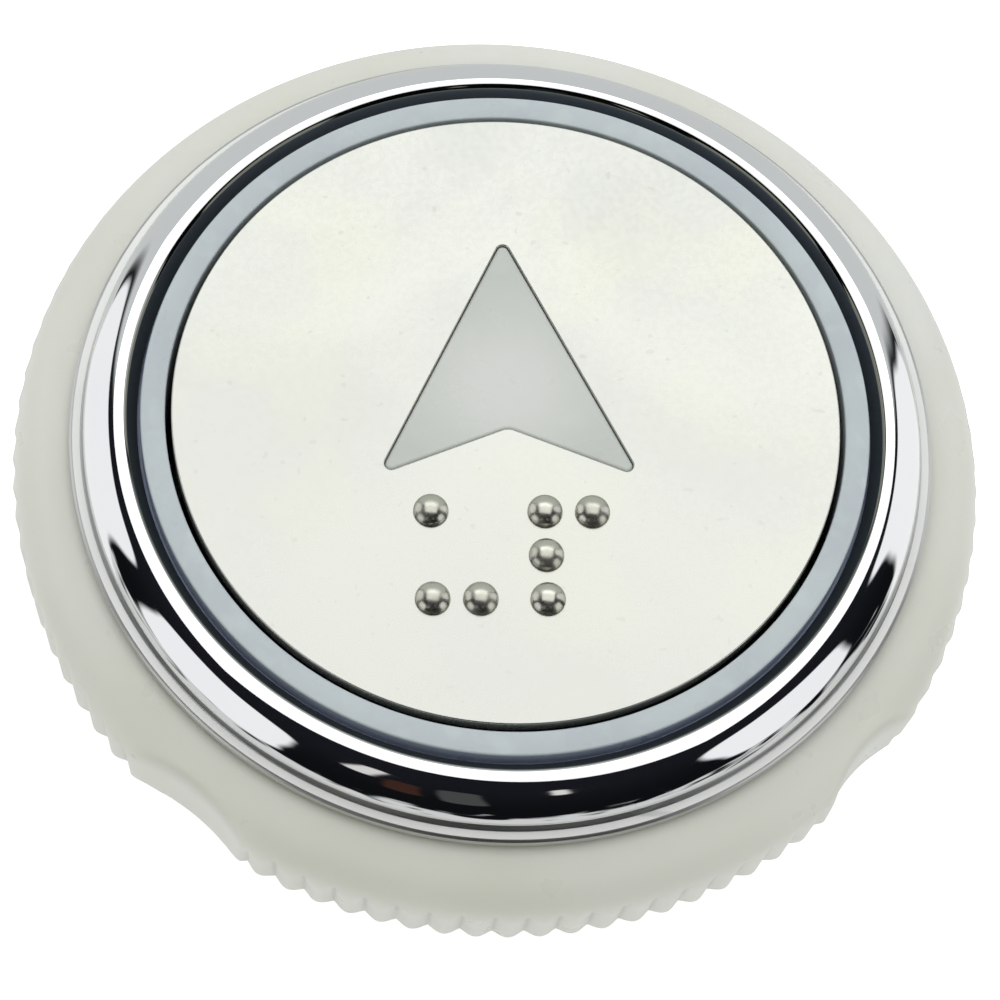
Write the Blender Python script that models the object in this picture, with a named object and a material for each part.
"""Round panel-mounted call button for a lift landing, with a raised "up" arrow and tactile dots.

Each piece is a separate object, in metres, +Z towards the person who presses the button and
+Y along the arrow. The origin is the centre of the rear face. Sizes below are in millimetres,
and heights are counted from the panel plane, where the panel's front face lies.
Every profile is a closed list of (radius, height) points, spun about Z.
"""

import math

import bmesh
import bpy
from mathutils import Matrix

MM = 0.001  # metres in a millimetre

# ---------------------------------------------------------------- driving dimensions, mm
PANEL_PLANE = 16.9  # height of the panel plane above the rear face

# bezel ring
BEZEL_R = 23.22  # outer edge of the thin lip that lies on the panel
LIP_THICK = 0.62
LIP_BEVEL = 0.17
TORUS_R = 22.6  # where the rounded ring rises from the lip
TORUS_FOOT_Z = LIP_THICK + 0.03
CREST_R = 20.45
CREST_Z = 3.20
CREST_ANGLES = (0, 20, 40, 58, 75, 90)  # degrees along the curve from lip to crest
BEZEL_MOUTH_R = 19.6
BEZEL_BORE_R = 21.1
BEZEL_SHOULDER_Z = 2.10

# lit ring
HALO_R = 19.43
HALO_BORE_R = 18.12
HALO_TOP_Z = 3.15
HALO_TUBE_R = 18.62
HALO_END_Z = -9.6
HALO_FLANGE_R = 20.75

# push plate, arrow and dots
PLATE_R = 17.80
PLATE_TOP_Z = 3.30
PLATE_THICK = 0.90
PLATE_BEVEL = 0.12
ARROW_TIP_Y = 10.50  # sharp corners, before rounding
ARROW_TAIL_X = 6.97
ARROW_TAIL_Y = -3.78
ARROW_NOTCH_Y = -0.95
ARROW_ROUND = 0.36
LENS_GAP = 0.14
LENS_TOP_Z = 3.24
LENS_FLANGE = 0.75  # how far the lens's rear flange reaches past the arrow
DOT_PITCH = 2.50
CELL_PITCH = 6.00
DOT_LEFT_X = -4.20
DOT_TOP_Y = -5.84
DOT_R = 0.88
DOT_HEIGHT = 0.60
DOT_FOOT_Z = PLATE_TOP_Z + 0.03
DOT_ANGLES = (0, 25, 50, 72)  # degrees up the dome
DOT_SHANK_R = 0.50
DOT_SHANK_END_Z = 2.45
DOT_HOLE_R = 0.62

# plunger
CARRIER_R = 17.45
CARRIER_BORE_R = 16.60
CARRIER_END_Z = -3.60
CARRIER_TOP_Z = 2.25
CARRIER_WEB_R = 12.0  # edge of the recess in the front face
CARRIER_WEB_TOP_Z = 1.45
CARRIER_WEB_UNDER_Z = 0.95
WINDOW_R = 6.40
LEG_ANGLES = (30.0, 150.0, 270.0)
LEG_WIDTH = 5.0
LEG_INNER_R = 16.75
LEG_OUTER_R = 17.40
LEG_TOP_Z = -3.0
LEG_END_Z = -9.10
HOOK_R = 18.40
HOOK_TOP_Z = -8.15
NOTCH_SIDE_GAP = 0.4  # between a leg and its notch in the lit ring
NOTCH_TOP_GAP = 0.15
STEM_Y = 13.0
STEM_R = 1.1
STEM_END_Z = -4.35

# housing barrel and its thread
BARREL_ROOT_R = 19.70
THREAD_R = 20.40
THREAD_PITCH = 2.00
THREAD_TOP_Z = -0.50
THREAD_END_Z = -10.60
BARREL_BORE_R = 18.80
REAR_BORE_R = BARREL_BORE_R - 0.05
FLANGE_R = 20.90
FLANGE_TOP_Z = 1.25
FLANGE_UNDER_Z = 0.05
LEDGE_R = 18.00
LEDGE_TOP_Z = -10.70
LEDGE_UNDER_Z = -11.40
BARREL_END_Z = -15.50
KEYWAY_FLOOR_R = 19.25
KEYWAY_WIDTH = 3.0

# nut and its keyed washer
WASHER_BORE_R = 20.62
WASHER_R = 21.90
WASHER_TOP_Z = -0.38
WASHER_UNDER_Z = -1.18
KEY_WIDTH = 2.6
KEY_ROOT_R = 21.2  # where the key ends inside the washer's ring
KEY_GAP = 0.15  # between the key and the keyway's floor
NUT_RIM_R = 26.35
NUT_RIM_Z = -3.20
NUT_FRONT_Z = -0.30
NUT_FRONT_R = 22.90
NUT_END_Z = -6.20
NUT_END_R = 25.4
NUT_END_BORE_R = 21.2
NUT_CURVE_ANGLES = (0.0, 32.0, 62.0, 90.0)  # degrees along the curve from front to rim
NUT_TEETH = 96
TOOTH_DEPTH = 0.52
TOOTH_FRONT_R = 26.30
TOOTH_REAR_R = 26.12
# the two concave finger grips: angle, radius where each one's centre lies, radius of its curve
GRIPS = ((229.5, 36.20, 10.90), (318.0, 32.75, 7.40))
NUT_THREAD_TIP_R = 19.95
NUT_THREAD_ROOT_R = 20.75
COUNTERBORE_R = 22.10
COUNTERBORE_Z = -1.35
COUNTERBORE_FLOOR_R = 21.0  # inner edge of the counterbore's floor

# circuit board and what stands on it
BOARD_R = 18.40
BOARD_TOP_Z = -11.60
BOARD_UNDER_Z = -13.10
SCREW_X = 8.1
SCREW_XS = (-SCREW_X, SCREW_X)
SCREW_HOLE_R = 0.95
PIN_HOLE_R = 0.50
HOLE_STEPS = 8
BAFFLE_BORE_R = 6.6
BAFFLE_TUBE_R = 7.4
BAFFLE_BASE_R = 9.6
BAFFLE_TOP_Z = -0.75
BAFFLE_SHOULDER_Z = -5.60
BAFFLE_END_Z = -11.45
LED_CIRCLE_R = 17.0
LED_STEP = 60.0  # degrees between the LEDs below the lit ring
ARROW_LED_Y = 2.6
RESISTOR_X = 12.6
RESISTOR_Y = 3.2

# microswitch, centred on the stem
SWITCH_WIDTH = 6.4
SWITCH_DEPTH = 5.6

# connector
CONNECTOR_Y = -12.0
SHELL_WIDTH = 12.6
SHELL_DEPTH = 5.6
SHELL_WALL = 0.7
SHELL_WINDOW_GAP = 0.3  # between the shell and its window in the rear cover
PIN_COUNT = 4
PIN_PITCH = 2.5
PIN_WIDTH = 0.5
PIN_XS = [(i - (PIN_COUNT - 1) / 2) * PIN_PITCH for i in range(PIN_COUNT)]

# return spring, between the baffle's shoulder and the carrier's web
SPRING_R = 8.6
SPRING_TURNS = 3.5
SPRING_STEPS = 14  # points in each turn
WIRE_R = 0.35
SPRING_GAP = 0.05
SPRING_FOOT_Z = BAFFLE_SHOULDER_Z + WIRE_R + SPRING_GAP
SPRING_HEAD_Z = CARRIER_WEB_UNDER_Z - WIRE_R - SPRING_GAP

# steps round a full turn
RING_STEPS = 40
BARREL_STEPS = 32
PLATE_STEPS = 56


# ---------------------------------------------------------------- scene, materials, frames
def clear_scene():
    for obj in list(bpy.data.objects):
        bpy.data.objects.remove(obj, do_unlink=True)


def material(name, colour, roughness, metallic=0.0):
    made = bpy.data.materials.new(name)
    made.use_nodes = True
    shader = made.node_tree.nodes["Principled BSDF"]
    shader.inputs["Base Color"].default_value = (*colour, 1.0)
    shader.inputs["Roughness"].default_value = roughness
    shader.inputs["Metallic"].default_value = metallic
    made.diffuse_color = (*colour, 1.0)
    return made


def axis_empty(name, parent=None, y=0.0, z=0.0):
    """An empty on a joint's axis."""
    empty = bpy.data.objects.new(name, None)
    empty.empty_display_size = 0.01
    bpy.context.scene.collection.objects.link(empty)
    empty.parent = parent
    empty.location = (0.0, y * MM, z * MM)
    return empty


# ---------------------------------------------------------------- objects and booleans
def make_object(name, shape, mat, parent, at=(0.0, 0.0, 0.0), turn=0.0, sharp=32.0):
    """Makes the object from a bmesh in millimetres; turn and sharp are in degrees."""
    bmesh.ops.scale(shape, vec=(MM, MM, MM), verts=shape.verts)
    bmesh.ops.recalc_face_normals(shape, faces=shape.faces)
    mesh = bpy.data.meshes.new(name)
    shape.to_mesh(mesh)
    shape.free()
    mesh.shade_smooth()
    mesh.set_sharp_from_angle(angle=math.radians(sharp))
    if mat is not None:
        mesh.materials.append(mat)
    obj = bpy.data.objects.new(name, mesh)
    bpy.context.scene.collection.objects.link(obj)
    obj.parent = parent
    obj.location = [place * MM for place in at]
    obj.rotation_euler = (0.0, 0.0, math.radians(turn))
    return obj


def boolean(target, tool_name, shape, operation):
    """Applies a shape, given in the target's own frame, through a hidden helper object."""
    tool = make_object(tool_name, shape, None, target.parent)
    tool.location = target.location
    tool.hide_render = True
    tool.display_type = "WIRE"
    modifier = target.modifiers.new(f"{operation.lower()}_{tool_name}", "BOOLEAN")
    modifier.operation = operation
    modifier.solver = "EXACT"
    modifier.object = tool


def cut(target, tool_name, shape):
    boolean(target, tool_name, shape, "DIFFERENCE")


def fuse(target, tool_name, shape):
    boolean(target, tool_name, shape, "UNION")


# ---------------------------------------------------------------- shapes, as bmeshes in mm
def turned(name, profile, mat, parent, steps=RING_STEPS, **place):
    """An object made by spinning a closed profile about Z."""
    shape = bmesh.new()
    verts = [shape.verts.new((radius, 0.0, z)) for radius, z in profile]
    edges = []
    for i in range(len(verts)):
        following = (i + 1) % len(verts)
        if profile[i][0] != 0.0 or profile[following][0] != 0.0:  # none along the axis
            edges.append(shape.edges.new((verts[i], verts[following])))
    bmesh.ops.spin(
        shape,
        geom=verts + edges,
        cent=(0.0, 0.0, 0.0),
        axis=(0.0, 0.0, 1.0),
        dvec=(0.0, 0.0, 0.0),
        angle=2 * math.pi,
        steps=steps,
        use_merge=True,
        use_duplicate=False,
    )
    bmesh.ops.remove_doubles(shape, verts=shape.verts, dist=1e-4)
    return make_object(name, shape, mat, parent, **place)


def prism(outline, z0, z1):
    """An (x, y) outline raised from z0 to z1."""
    shape = bmesh.new()
    base = shape.faces.new([shape.verts.new((x, y, z0)) for x, y in outline])
    made = bmesh.ops.extrude_face_region(shape, geom=[base])
    top = [item for item in made["geom"] if isinstance(item, bmesh.types.BMVert)]
    bmesh.ops.translate(shape, vec=(0.0, 0.0, z1 - z0), verts=top)
    return shape


def box(x0, x1, y0, y1, z0, z1):
    return prism(((x0, y0), (x1, y0), (x1, y1), (x0, y1)), z0, z1)


def centred_box(width, depth, z0, z1, x=0.0, y=0.0):
    """A box with width along X and depth along Y, centred on (x, y)."""
    return box(x - width / 2, x + width / 2, y - depth / 2, y + depth / 2, z0, z1)


def rod(x, y, radius, z0, z1, steps):
    shape = bmesh.new()
    bmesh.ops.create_cone(
        shape,
        cap_ends=True,
        segments=steps,
        radius1=radius,
        radius2=radius,
        depth=z1 - z0,
        matrix=Matrix.Translation((x, y, (z0 + z1) / 2)),
    )
    return shape


def joined(parts):
    """Several shapes as one, left as separate shells; only cutters use it."""
    whole = bmesh.new()
    for part in parts:
        bmesh.ops.recalc_face_normals(part, faces=part.faces)
        mesh = bpy.data.meshes.new("part_of_cutter")
        part.to_mesh(mesh)
        part.free()
        whole.from_mesh(mesh)
        bpy.data.meshes.remove(mesh)
    return whole


def rotate(shape, degrees, axis):
    matrix = Matrix.Rotation(math.radians(degrees), 3, axis)
    bmesh.ops.rotate(shape, cent=(0, 0, 0), matrix=matrix, verts=shape.verts)


def inset_end(shape, pick, inset, shift=0.0):
    """Insets the front (pick=max) or rear (pick=min) face, then shifts it along Z."""
    face = pick(shape.faces, key=lambda candidate: candidate.calc_center_median().z)
    bmesh.ops.inset_region(shape, faces=[face], thickness=inset)
    bmesh.ops.translate(shape, vec=(0.0, 0.0, shift), verts=face.verts)


# ---------------------------------------------------------------- outlines
def unit(x, y):
    length = math.hypot(x, y)
    return x / length, y / length


def rounded_outline(corners, radius, steps=3):
    """Each corner of a polygon replaced by an arc that touches both its sides."""
    points = []
    for i, (x, y) in enumerate(corners):
        last_x, last_y = corners[i - 1]
        next_x, next_y = corners[(i + 1) % len(corners)]
        back_x, back_y = unit(last_x - x, last_y - y)
        ahead_x, ahead_y = unit(next_x - x, next_y - y)
        half = math.acos(back_x * ahead_x + back_y * ahead_y) / 2
        reach = radius / math.tan(half)  # from the corner to where the arc touches
        away = radius / math.sin(half)  # from the corner to the arc's centre
        middle_x, middle_y = unit(back_x + ahead_x, back_y + ahead_y)
        centre_x = x + middle_x * away
        centre_y = y + middle_y * away
        start = math.atan2(y + back_y * reach - centre_y, x + back_x * reach - centre_x)
        end = math.atan2(y + ahead_y * reach - centre_y, x + ahead_x * reach - centre_x)
        sweep = (end - start + math.pi) % (2 * math.pi) - math.pi
        for k in range(steps + 1):
            angle = start + sweep * k / steps
            points.append(
                (centre_x + radius * math.cos(angle), centre_y + radius * math.sin(angle))
            )
    return points


def moved_out(corners, distance):
    """A counter-clockwise polygon with each side moved outwards by distance."""
    moved = []
    for i, (x, y) in enumerate(corners):
        last_x, last_y = corners[i - 1]
        next_x, next_y = corners[(i + 1) % len(corners)]
        # outward normals of the sides before and after the corner
        before_x, before_y = unit(y - last_y, last_x - x)
        after_x, after_y = unit(next_y - y, x - next_x)
        scale = distance / (1 + before_x * after_x + before_y * after_y)
        moved.append((x + (before_x + after_x) * scale, y + (before_y + after_y) * scale))
    return moved


ARROW = (
    (0.0, ARROW_TIP_Y),
    (-ARROW_TAIL_X, ARROW_TAIL_Y),
    (0.0, ARROW_NOTCH_Y),
    (ARROW_TAIL_X, ARROW_TAIL_Y),
)


def arrow_outline(grow):
    return rounded_outline(moved_out(ARROW, grow), ARROW_ROUND + grow)


# ---------------------------------------------------------------- threads and rings
def thread_points(angle, z_top, z_end, base_r, tip_r, ridge_z, tip_width, flank, ramp):
    """(radius, height) down one side of a helical ridge at this angle.

    ridge_z is the height of a ridge's middle at angle 0. Points beyond the threaded length
    fall on its two ends, so that the ridge runs out there, and the ridge fades in and out
    over the ramp.
    """
    first = ridge_z + flank + tip_width / 2
    first += math.ceil((z_top - first) / THREAD_PITCH) * THREAD_PITCH
    start = first + THREAD_PITCH * angle / (2 * math.pi)
    turns = math.ceil((first + THREAD_PITCH - z_end) / THREAD_PITCH) + 1
    # (drop from the ridge's top edge, rise from base to tip)
    ridge = (
        (0.0, 0.0),
        (flank, tip_r - base_r),
        (flank + tip_width, tip_r - base_r),
        (2 * flank + tip_width, 0.0),
    )
    points = []
    for k in range(turns):
        for drop, rise in ridge:
            z = start - k * THREAD_PITCH - drop
            if z >= z_top - 0.02:
                points.append((base_r, z_top))
            elif z <= z_end + 0.02:
                points.append((base_r, z_end))
            else:
                fade = min((z_top - z) / ramp, (z - z_end) / ramp, 1.0)
                points.append((base_r + rise * fade, z))
    return points


def columns_shape(profile_at, steps, closed_profile):
    """Faces between columns of points, one column for each of the equal steps about Z."""
    shape = bmesh.new()
    columns = []
    for j in range(steps + 1):
        angle = 2 * math.pi * j / steps
        cos, sin = math.cos(angle), math.sin(angle)
        columns.append(
            [shape.verts.new((radius * cos, radius * sin, z)) for radius, z in profile_at(angle)]
        )
    rows = len(columns[0])
    for here, beside in zip(columns, columns[1:]):
        for i in range(rows if closed_profile else rows - 1):
            k = (i + 1) % rows
            shape.faces.new((here[i], beside[i], beside[k], here[k]))
    # joins the last column to the first, and the points gathered at the thread's ends
    bmesh.ops.remove_doubles(shape, verts=shape.verts, dist=2e-3)
    return shape


def ring_verts(shape, radius_at, z, steps):
    ring = []
    for j in range(steps):
        angle = 2 * math.pi * j / steps
        radius = radius_at(angle)
        ring.append(shape.verts.new((radius * math.cos(angle), radius * math.sin(angle), z)))
    return ring


def angle_of(vert):
    angle = math.atan2(vert.co.y, vert.co.x) % (2 * math.pi)
    return 0.0 if angle > 2 * math.pi - 1e-6 else angle


def find_ring(shape, radius, z):
    """The vertices that lie on one circle, in order of angle."""
    found = [
        vert
        for vert in shape.verts
        if abs(vert.co.z - z) < 1e-3 and abs(math.hypot(vert.co.x, vert.co.y) - radius) < 1e-3
    ]
    return sorted(found, key=angle_of)


def zip_rings(shape, ring_a, ring_b):
    """Triangles between two rings that may have different numbers of points."""
    count_a, count_b = len(ring_a), len(ring_b)
    i = j = 0
    while i < count_a or j < count_b:
        next_a = angle_of(ring_a[i + 1]) if i + 1 < count_a else 2 * math.pi
        next_b = angle_of(ring_b[j + 1]) if j + 1 < count_b else 2 * math.pi
        here_a, here_b = ring_a[i % count_a], ring_b[j % count_b]
        if j >= count_b or (i < count_a and next_a <= next_b + 1e-9):
            shape.faces.new((here_a, ring_a[(i + 1) % count_a], here_b))
            i += 1
        else:
            shape.faces.new((here_a, ring_b[(j + 1) % count_b], here_b))
            j += 1


# ---------------------------------------------------------------- bezel, gasket and lit ring
def build_bezel(parent, mat):
    curve = []
    for degrees in CREST_ANGLES:
        angle = math.radians(degrees)
        radius = CREST_R + (TORUS_R - CREST_R) * math.cos(angle)
        curve.append((radius, TORUS_FOOT_Z + (CREST_Z - TORUS_FOOT_Z) * math.sin(angle)))
    profile = [
        (BEZEL_BORE_R, 0.0),
        (21.5, 0.0),  # groove for the gasket
        (21.5, 0.42),
        (22.7, 0.42),
        (22.7, 0.0),
        (BEZEL_R, 0.0),
        (BEZEL_R, LIP_THICK - LIP_BEVEL),
        (BEZEL_R - LIP_BEVEL, LIP_THICK),
        *curve,
        (CREST_R - 0.22, CREST_Z - 0.07),
        (CREST_R - 0.41, CREST_Z - 0.24),
        (BEZEL_MOUTH_R, CREST_Z - 0.92),
        (BEZEL_MOUTH_R, BEZEL_SHOULDER_Z),
        (BEZEL_BORE_R, BEZEL_SHOULDER_Z),
        (BEZEL_BORE_R, 1.40),
        (21.4, 1.25),  # groove that snaps over the housing's bead
        (21.4, 0.85),
        (BEZEL_BORE_R, 0.70),
    ]
    turned("bezel_ring", profile, mat, parent)


def build_gasket(parent, mat):
    profile = [(21.65, -0.12), (22.55, -0.12), (22.55, 0.34), (21.65, 0.34)]
    turned("panel_gasket", profile, mat, parent, steps=BARREL_STEPS)


def build_halo(parent, mat):
    profile = [
        (HALO_BORE_R, HALO_END_Z),
        (HALO_TUBE_R, HALO_END_Z),
        (HALO_TUBE_R, 1.35),
        (HALO_FLANGE_R, 1.35),
        (HALO_FLANGE_R, 1.95),
        (HALO_R, 1.95),
        (HALO_R, HALO_TOP_Z - 0.10),
        (HALO_R - 0.10, HALO_TOP_Z),
        (HALO_BORE_R + 0.08, HALO_TOP_Z),
        (HALO_BORE_R, HALO_TOP_Z - 0.08),
    ]
    halo = turned("halo_light_guide", profile, mat, parent)
    half_width = LEG_WIDTH / 2 + NOTCH_SIDE_GAP
    notches = []
    for angle in LEG_ANGLES:
        notch = box(16.0, 21.0, -half_width, half_width, -11.0, HOOK_TOP_Z + NOTCH_TOP_GAP)
        rotate(notch, angle, "Z")
        notches.append(notch)
    cut(halo, "cutter_leg_notches", joined(notches))


# ---------------------------------------------------------------- housing and rear cover
def housing_profile(angle):
    thread = thread_points(
        angle,
        z_top=THREAD_TOP_Z,
        z_end=THREAD_END_Z,
        base_r=BARREL_ROOT_R,
        tip_r=THREAD_R,
        ridge_z=-1.0,
        tip_width=0.50,
        flank=0.35,
        ramp=0.8,
    )
    return [
        (BARREL_BORE_R, FLANGE_TOP_Z),
        (FLANGE_R, FLANGE_TOP_Z),
        (21.22, 1.10),  # bead that the bezel snaps over
        (21.22, 0.95),
        (FLANGE_R, 0.80),
        (FLANGE_R, FLANGE_UNDER_Z),
        (BARREL_ROOT_R, FLANGE_UNDER_Z),
        *thread,
        (BARREL_ROOT_R, BARREL_END_Z),
        (REAR_BORE_R, BARREL_END_Z),
        (REAR_BORE_R, -14.95),
        (19.10, -14.85),  # groove for the rear cover's bead
        (19.10, -14.35),
        (REAR_BORE_R, -14.25),
        (REAR_BORE_R, LEDGE_UNDER_Z),
        (LEDGE_R, LEDGE_UNDER_Z),  # ledge that the board is pressed against
        (LEDGE_R, LEDGE_TOP_Z),
        (BARREL_BORE_R, LEDGE_TOP_Z),
    ]


def build_housing(parent, mat):
    shape = columns_shape(housing_profile, BARREL_STEPS, closed_profile=True)
    housing = make_object("housing_body", shape, mat, parent)
    half_width = KEYWAY_WIDTH / 2
    keyway = box(-half_width, half_width, -23.0, -KEYWAY_FLOOR_R, -11.2, 0.0)
    cut(housing, "cutter_keyway", keyway)


def build_rear_cover(parent, mat):
    profile = [
        (0.0, -PANEL_PLANE),
        (BARREL_ROOT_R - 0.25, -PANEL_PLANE),
        (BARREL_ROOT_R, -PANEL_PLANE + 0.25),
        (BARREL_ROOT_R, -15.65),
        (18.50, -15.65),
        (18.50, -14.80),
        (18.86, -14.68),  # bead that snaps into the housing's groove
        (18.86, -14.52),
        (18.50, -14.40),
        (18.50, -13.30),
        (17.40, -13.30),
        (17.40, -15.90),
        (0.0, -15.90),
    ]
    cover = turned("rear_cover", profile, mat, parent, steps=BARREL_STEPS)
    width = SHELL_WIDTH + 2 * SHELL_WINDOW_GAP
    depth = SHELL_DEPTH + 2 * SHELL_WINDOW_GAP
    window = centred_box(width, depth, -18.0, -15.0, y=CONNECTOR_Y)
    cut(cover, "cutter_connector_window", window)


# ---------------------------------------------------------------- board and its parts
def build_board(parent, mat):
    profile = [
        (0.0, BOARD_UNDER_Z),
        (BOARD_R, BOARD_UNDER_Z),
        (BOARD_R, BOARD_TOP_Z),
        (0.0, BOARD_TOP_Z),
    ]
    board = turned("circuit_board", profile, mat, parent)
    holes = [rod(x, 0.0, SCREW_HOLE_R, -14.0, -11.0, HOLE_STEPS) for x in SCREW_XS]
    holes += [rod(x, CONNECTOR_Y, PIN_HOLE_R, -14.0, -11.0, HOLE_STEPS) for x in PIN_XS]
    cut(board, "cutter_board_holes", joined(holes))


def build_baffle(parent, mat):
    """The tube round the arrow's LEDs."""
    profile = [
        (BAFFLE_BORE_R, BAFFLE_END_Z),
        (BAFFLE_BASE_R, BAFFLE_END_Z),
        (BAFFLE_BASE_R, BAFFLE_SHOULDER_Z),
        (BAFFLE_TUBE_R, BAFFLE_SHOULDER_Z),
        (BAFFLE_TUBE_R, BAFFLE_TOP_Z),
        (BAFFLE_BORE_R, BAFFLE_TOP_Z),
    ]
    baffle = turned("light_baffle", profile, mat, parent, steps=BARREL_STEPS)
    holes = [rod(x, 0.0, SCREW_HOLE_R, -12.0, -8.6, HOLE_STEPS) for x in SCREW_XS]
    cut(baffle, "cutter_baffle_holes", joined(holes))


def build_screws(parent, mat):
    profile = [
        (0.0, -13.75),  # driver recess
        (0.5, -13.75),
        (1.1, -14.05),
        (1.5, -13.85),
        (1.5, -13.25),
        (0.72, -13.25),
        (0.72, -9.30),
        (0.0, -8.95),
    ]
    for number, x in enumerate(SCREW_XS, 1):
        turned(f"board_screw_{number}", profile, mat, parent, steps=12, at=(x, 0.0, 0.0))


def build_led(name, x, y, turn, parent, mat):
    shape = centred_box(1.40, 1.80, -11.55, -11.00)
    inset_end(shape, max, inset=0.22, shift=0.22)
    make_object(name, shape, mat, parent, at=(x, y, 0.0), turn=turn)


def build_leds(parent, mat):
    for number in range(6):
        turn = LED_STEP * number
        x = LED_CIRCLE_R * math.cos(math.radians(turn))
        y = LED_CIRCLE_R * math.sin(math.radians(turn))
        build_led(f"led_halo_{number + 1}", x, y, turn, parent, mat)
    for number, y in enumerate((-ARROW_LED_Y, ARROW_LED_Y), 1):
        build_led(f"led_arrow_{number}", 0.0, y, 90.0, parent, mat)


def build_resistors(parent, mat):
    places = [(x, y) for x in (RESISTOR_X, -RESISTOR_X) for y in (RESISTOR_Y, -RESISTOR_Y)]
    for number, (x, y) in enumerate(places, 1):
        shape = centred_box(0.90, 1.70, -11.52, -11.05)
        inset_end(shape, max, inset=0.08)
        make_object(f"resistor_{number}", shape, mat, parent, at=(x, y, 0.0))


# ---------------------------------------------------------------- microswitch
def build_switch_part(name, z0, z1, parent, mat):
    shape = centred_box(SWITCH_WIDTH, SWITCH_DEPTH, z0, z1)
    return make_object(name, shape, mat, parent, at=(0, STEM_Y, 0))


def build_switch(parent, body_mat, cover_mat):
    body = build_switch_part("switch_body", -11.50, -7.20, parent, body_mat)
    cut(body, "cutter_switch_well", rod(0, 0, 2.0, -9.8, -6.5, 16))
    cover = build_switch_part("switch_cover", -7.05, -6.45, parent, cover_mat)
    cut(cover, "cutter_switch_cover", rod(0, 0, 1.2, -8.0, -6.0, 16))


def build_switch_button(parent, mat):
    profile = [
        (0.0, -8.35),
        (1.70, -8.35),
        (1.70, -7.55),
        (0.95, -7.55),
        (0.95, -4.70),
        (0.75, -4.50),
        (0.0, -4.50),
    ]
    turned("switch_button", profile, mat, parent, steps=16)


# ---------------------------------------------------------------- connector
def build_connector_shell(parent, mat):
    shape = centred_box(SHELL_WIDTH, SHELL_DEPTH, -16.60, -13.25)
    shell = make_object("connector_shell", shape, mat, parent, at=(0, CONNECTOR_Y, 0))
    width = SHELL_WIDTH - 2 * SHELL_WALL
    depth = SHELL_DEPTH - 2 * SHELL_WALL
    cut(shell, "cutter_connector_pocket", centred_box(width, depth, -18.0, -14.10))
    openings = [centred_box(0.80, 0.80, -15.0, -12.5, x=x) for x in PIN_XS]
    openings.append(box(-1.6, 1.6, 1.5, 3.5, -18.0, -15.2))  # latch window
    cut(shell, "cutter_connector_pins", joined(openings))


def build_connector_pins(parent, mat):
    for number, x in enumerate(PIN_XS, 1):
        shape = centred_box(PIN_WIDTH, PIN_WIDTH, -16.0, -11.0)
        inset_end(shape, min, inset=0.10, shift=-0.25)
        make_object(f"connector_pin_{number}", shape, mat, parent, at=(x, CONNECTOR_Y, 0))


# ---------------------------------------------------------------- push plate, arrow and dots
# (cell, column, row): dots 1, 3 and 6 of the first cell, and 1, 2, 3 and 4 of the second
DOT_CELLS = (
    (0, 0, 0), (0, 0, 2), (0, 1, 2),
    (1, 0, 0), (1, 0, 1), (1, 0, 2), (1, 1, 0),
)  # fmt: skip
DOTS = [
    (DOT_LEFT_X + cell * CELL_PITCH + column * DOT_PITCH, DOT_TOP_Y - row * DOT_PITCH)
    for cell, column, row in DOT_CELLS
]


def build_plate(parent, mat):
    under_z = PLATE_TOP_Z - PLATE_THICK
    profile = [
        (0.0, under_z),
        (PLATE_R, under_z),
        (PLATE_R, PLATE_TOP_Z - PLATE_BEVEL),
        (PLATE_R - PLATE_BEVEL, PLATE_TOP_Z),
        (0.0, PLATE_TOP_Z),
    ]
    plate = turned("push_plate", profile, mat, parent, steps=PLATE_STEPS)
    openings = [prism(arrow_outline(0.0), 0.0, 5.0)]
    openings += [rod(x, y, DOT_HOLE_R, 0.0, 5.0, 10) for x, y in DOTS]
    cut(plate, "cutter_plate", joined(openings))


def build_dots(parent, mat):
    profile = [(0.0, DOT_SHANK_END_Z), (DOT_SHANK_R, DOT_SHANK_END_Z), (DOT_SHANK_R, DOT_FOOT_Z)]
    for degrees in DOT_ANGLES:
        angle = math.radians(degrees)
        profile.append((DOT_R * math.cos(angle), DOT_FOOT_Z + DOT_HEIGHT * math.sin(angle)))
    profile.append((0.0, DOT_FOOT_Z + DOT_HEIGHT))
    for number, (x, y) in enumerate(DOTS, 1):
        name = f"braille_pin_{number}"
        turned(name, profile, mat, parent, steps=10, at=(x, y, 0.0), sharp=60.0)


def build_lens(parent, mat):
    shape = prism(arrow_outline(-LENS_GAP), 1.9, LENS_TOP_Z)
    lens = make_object("arrow_lens", shape, mat, parent)
    fuse(lens, "tool_lens_flange", prism(arrow_outline(LENS_FLANGE), 1.60, 2.28))


# ---------------------------------------------------------------- plunger carrier
def leg_shape(angle):
    """A leg with an outward hook at its rear end."""
    side = (  # (radius, height)
        (LEG_INNER_R, LEG_TOP_Z),
        (LEG_OUTER_R, LEG_TOP_Z),
        (LEG_OUTER_R, HOOK_TOP_Z),
        (HOOK_R, HOOK_TOP_Z),
        (HOOK_R, HOOK_TOP_Z - 0.35),
        (17.85, LEG_END_Z),
        (LEG_INNER_R, LEG_END_Z),
    )
    shape = prism(side, -LEG_WIDTH / 2, LEG_WIDTH / 2)
    rotate(shape, 90.0, "X")
    rotate(shape, angle, "Z")
    return shape


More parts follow.
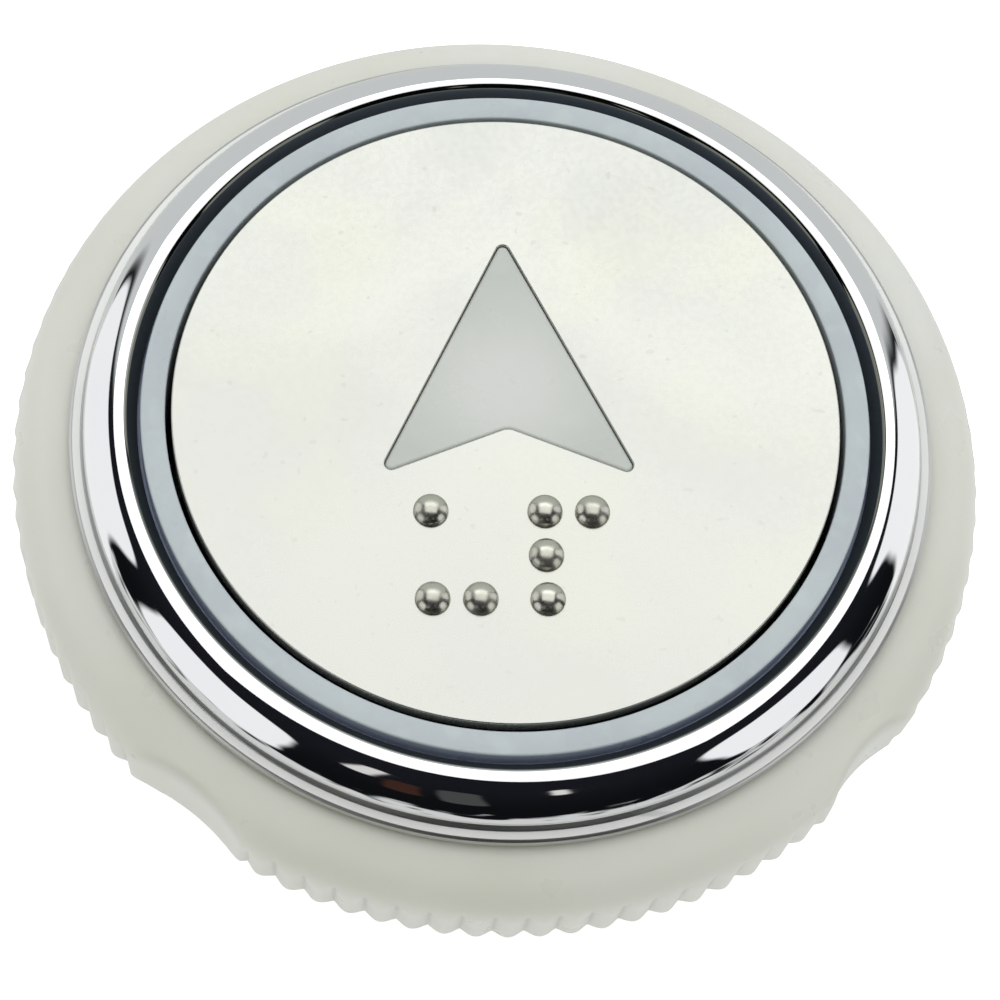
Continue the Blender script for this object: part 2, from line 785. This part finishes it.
def build_carrier(parent, mat):
    profile = [
        (WINDOW_R, CARRIER_WEB_UNDER_Z),
        (CARRIER_BORE_R, CARRIER_WEB_UNDER_Z),
        (CARRIER_BORE_R, CARRIER_END_Z),
        (CARRIER_R, CARRIER_END_Z),
        (CARRIER_R, CARRIER_TOP_Z),
        (CARRIER_WEB_R, CARRIER_TOP_Z),
        (CARRIER_WEB_R, CARRIER_WEB_TOP_Z),
        (WINDOW_R, CARRIER_WEB_TOP_Z),
    ]
    carrier = turned("plunger_carrier", profile, mat, parent)
    for number, angle in enumerate(LEG_ANGLES, 1):
        fuse(carrier, f"tool_leg_{number}", leg_shape(angle))
    fuse(carrier, "tool_stem", rod(0, STEM_Y, STEM_R, STEM_END_Z, 1.2, 12))


# ---------------------------------------------------------------- return spring
def build_spring(parent, mat):
    coil = bpy.data.curves.new("return_spring", "CURVE")
    coil.dimensions = "3D"
    coil.bevel_depth = WIRE_R * MM
    coil.bevel_resolution = 1
    coil.use_fill_caps = True
    coil.materials.append(mat)
    spline = coil.splines.new("POLY")
    steps = int(SPRING_TURNS * SPRING_STEPS)
    spline.points.add(steps)
    for i in range(steps + 1):
        share = i / steps
        angle = 2 * math.pi * SPRING_TURNS * share
        x = SPRING_R * math.cos(angle)
        y = SPRING_R * math.sin(angle)
        z = SPRING_FOOT_Z + (SPRING_HEAD_Z - SPRING_FOOT_Z) * share
        spline.points[i].co = (x * MM, y * MM, z * MM, 1.0)
    spring = bpy.data.objects.new("return_spring", coil)
    bpy.context.scene.collection.objects.link(spring)
    spring.parent = parent


# ---------------------------------------------------------------- keyed washer and hand nut
def build_washer(parent, mat):
    profile = [
        (WASHER_BORE_R, WASHER_UNDER_Z),
        (WASHER_R, WASHER_UNDER_Z),
        (WASHER_R, WASHER_TOP_Z),
        (WASHER_BORE_R, WASHER_TOP_Z),
    ]
    washer = turned("clamp_washer", profile, mat, parent, steps=BARREL_STEPS)
    half_width = KEY_WIDTH / 2
    tip_y = -KEYWAY_FLOOR_R - KEY_GAP
    key = box(-half_width, half_width, -KEY_ROOT_R, tip_y, WASHER_UNDER_Z, WASHER_TOP_Z)
    fuse(washer, "tool_washer_key", key)


def nut_inside(angle):
    thread = thread_points(
        angle,
        z_top=COUNTERBORE_Z - 0.15,
        z_end=NUT_END_Z + 0.25,
        base_r=NUT_THREAD_ROOT_R,
        tip_r=NUT_THREAD_TIP_R,
        ridge_z=0.0,
        tip_width=0.60,
        flank=0.40,
        ramp=0.6,
    )
    return [
        (COUNTERBORE_R, NUT_FRONT_Z),
        (COUNTERBORE_R, COUNTERBORE_Z),
        (COUNTERBORE_FLOOR_R, COUNTERBORE_Z),
        *thread,
        (NUT_END_BORE_R, NUT_END_Z),
    ]


def grip_limit(angle, radius):
    """The radius left at this angle once the finger grips are cut."""
    for grip, centre_r, curve_r in GRIPS:
        off = (angle - math.radians(grip) + math.pi) % (2 * math.pi) - math.pi
        inside = curve_r**2 - (centre_r * math.sin(off)) ** 2
        if abs(off) < math.pi / 2 and inside > 0:
            radius = min(radius, centre_r * math.cos(off) - math.sqrt(inside))
    return radius


def plain_rim(radius):
    return lambda angle: grip_limit(angle, radius)


def toothed_rim(tip, depth):
    """Every second point is a gap between teeth, except in the finger grips."""

    def radius_at(angle):
        in_gap = round(angle / (2 * math.pi) * 2 * NUT_TEETH) % 2 == 1
        in_grip = grip_limit(angle, 100.0) < tip + 0.1
        return grip_limit(angle, tip - depth if in_gap and not in_grip else tip)

    return radius_at


def build_nut(parent, mat):
    """Rings run from the counterbore's front edge over the outside to the rear bore."""
    shape = columns_shape(nut_inside, BARREL_STEPS, closed_profile=False)
    inner_front = find_ring(shape, COUNTERBORE_R, NUT_FRONT_Z)
    inner_end = find_ring(shape, NUT_END_BORE_R, NUT_END_Z)
    stations = []  # (radius at an angle, height, points)
    for degrees in NUT_CURVE_ANGLES:
        angle = math.radians(degrees)
        radius = NUT_FRONT_R + (NUT_RIM_R - NUT_FRONT_R) * math.sin(angle)
        z = NUT_FRONT_Z + (NUT_RIM_Z - NUT_FRONT_Z) * (1.0 - math.cos(angle))
        stations.append((plain_rim(radius), z, NUT_TEETH))
    stations += [
        (toothed_rim(TOOTH_FRONT_R, TOOTH_DEPTH * 0.9), NUT_RIM_Z - 0.45, 2 * NUT_TEETH),
        (toothed_rim(TOOTH_REAR_R, TOOTH_DEPTH), NUT_END_Z + 0.2, 2 * NUT_TEETH),
        (plain_rim(NUT_END_R), NUT_END_Z, NUT_TEETH),
    ]
    outer = [ring_verts(shape, *station) for station in stations]
    rings = [inner_front, *outer, inner_end]
    for ring, following in zip(rings, rings[1:]):
        zip_rings(shape, ring, following)
    make_object("lock_nut", shape, mat, parent)


# ---------------------------------------------------------------- assembly
def main():
    clear_scene()

    chrome = material("mirror_chrome", colour=(0.80, 0.82, 0.84), roughness=0.04, metallic=1.0)
    stainless = material(
        "satin_stainless", colour=(0.81, 0.81, 0.77), roughness=0.28, metallic=1.0
    )
    polished = material(
        "polished_stainless", colour=(0.62, 0.62, 0.60), roughness=0.12, metallic=1.0
    )
    milky = material("milky_nylon", colour=(0.66, 0.67, 0.61), roughness=0.38)
    diffuser = material("grey_diffuser", colour=(0.50, 0.54, 0.59), roughness=0.30)
    arrow_grey = material("arrow_diffuser", colour=(0.55, 0.57, 0.54), roughness=0.35)
    black = material("black_plastic", colour=(0.025, 0.025, 0.028), roughness=0.45)
    white = material("white_reflector", colour=(0.85, 0.85, 0.83), roughness=0.50)
    green = material("board_green", colour=(0.02, 0.16, 0.07), roughness=0.40)
    rubber = material("black_rubber", colour=(0.02, 0.02, 0.02), roughness=0.75)
    steel = material("spring_steel", colour=(0.55, 0.55, 0.56), roughness=0.25, metallic=1.0)
    zinc = material("zinc_plate", colour=(0.62, 0.62, 0.64), roughness=0.35, metallic=1.0)
    brass = material("tinned_brass", colour=(0.78, 0.66, 0.38), roughness=0.30, metallic=1.0)
    led_body = material("led_package", colour=(0.88, 0.86, 0.74), roughness=0.35)
    ceramic = material("resistor_black", colour=(0.05, 0.05, 0.06), roughness=0.50)
    ivory = material("ivory_plastic", colour=(0.78, 0.76, 0.68), roughness=0.45)

    fixed = axis_empty("fixed_frame", z=PANEL_PLANE)
    plunger = axis_empty("plunger_axis", fixed)
    switch = axis_empty("switch_axis", fixed, y=STEM_Y)
    washer = axis_empty("washer_axis", fixed)
    nut = axis_empty("nut_axis", washer)

    build_bezel(fixed, chrome)
    build_gasket(fixed, rubber)
    build_halo(fixed, diffuser)
    build_housing(fixed, black)
    build_board(fixed, green)
    build_baffle(fixed, white)
    build_screws(fixed, zinc)
    build_leds(fixed, led_body)
    build_resistors(fixed, ceramic)
    build_switch(fixed, black, ivory)
    build_switch_button(switch, ivory)
    build_connector_shell(fixed, ivory)
    build_connector_pins(fixed, brass)
    build_rear_cover(fixed, black)
    build_plate(plunger, stainless)
    build_dots(plunger, polished)
    build_lens(plunger, arrow_grey)
    build_carrier(plunger, black)
    build_spring(fixed, steel)
    build_washer(washer, zinc)
    build_nut(nut, milky)

    bpy.context.view_layer.update()


main()
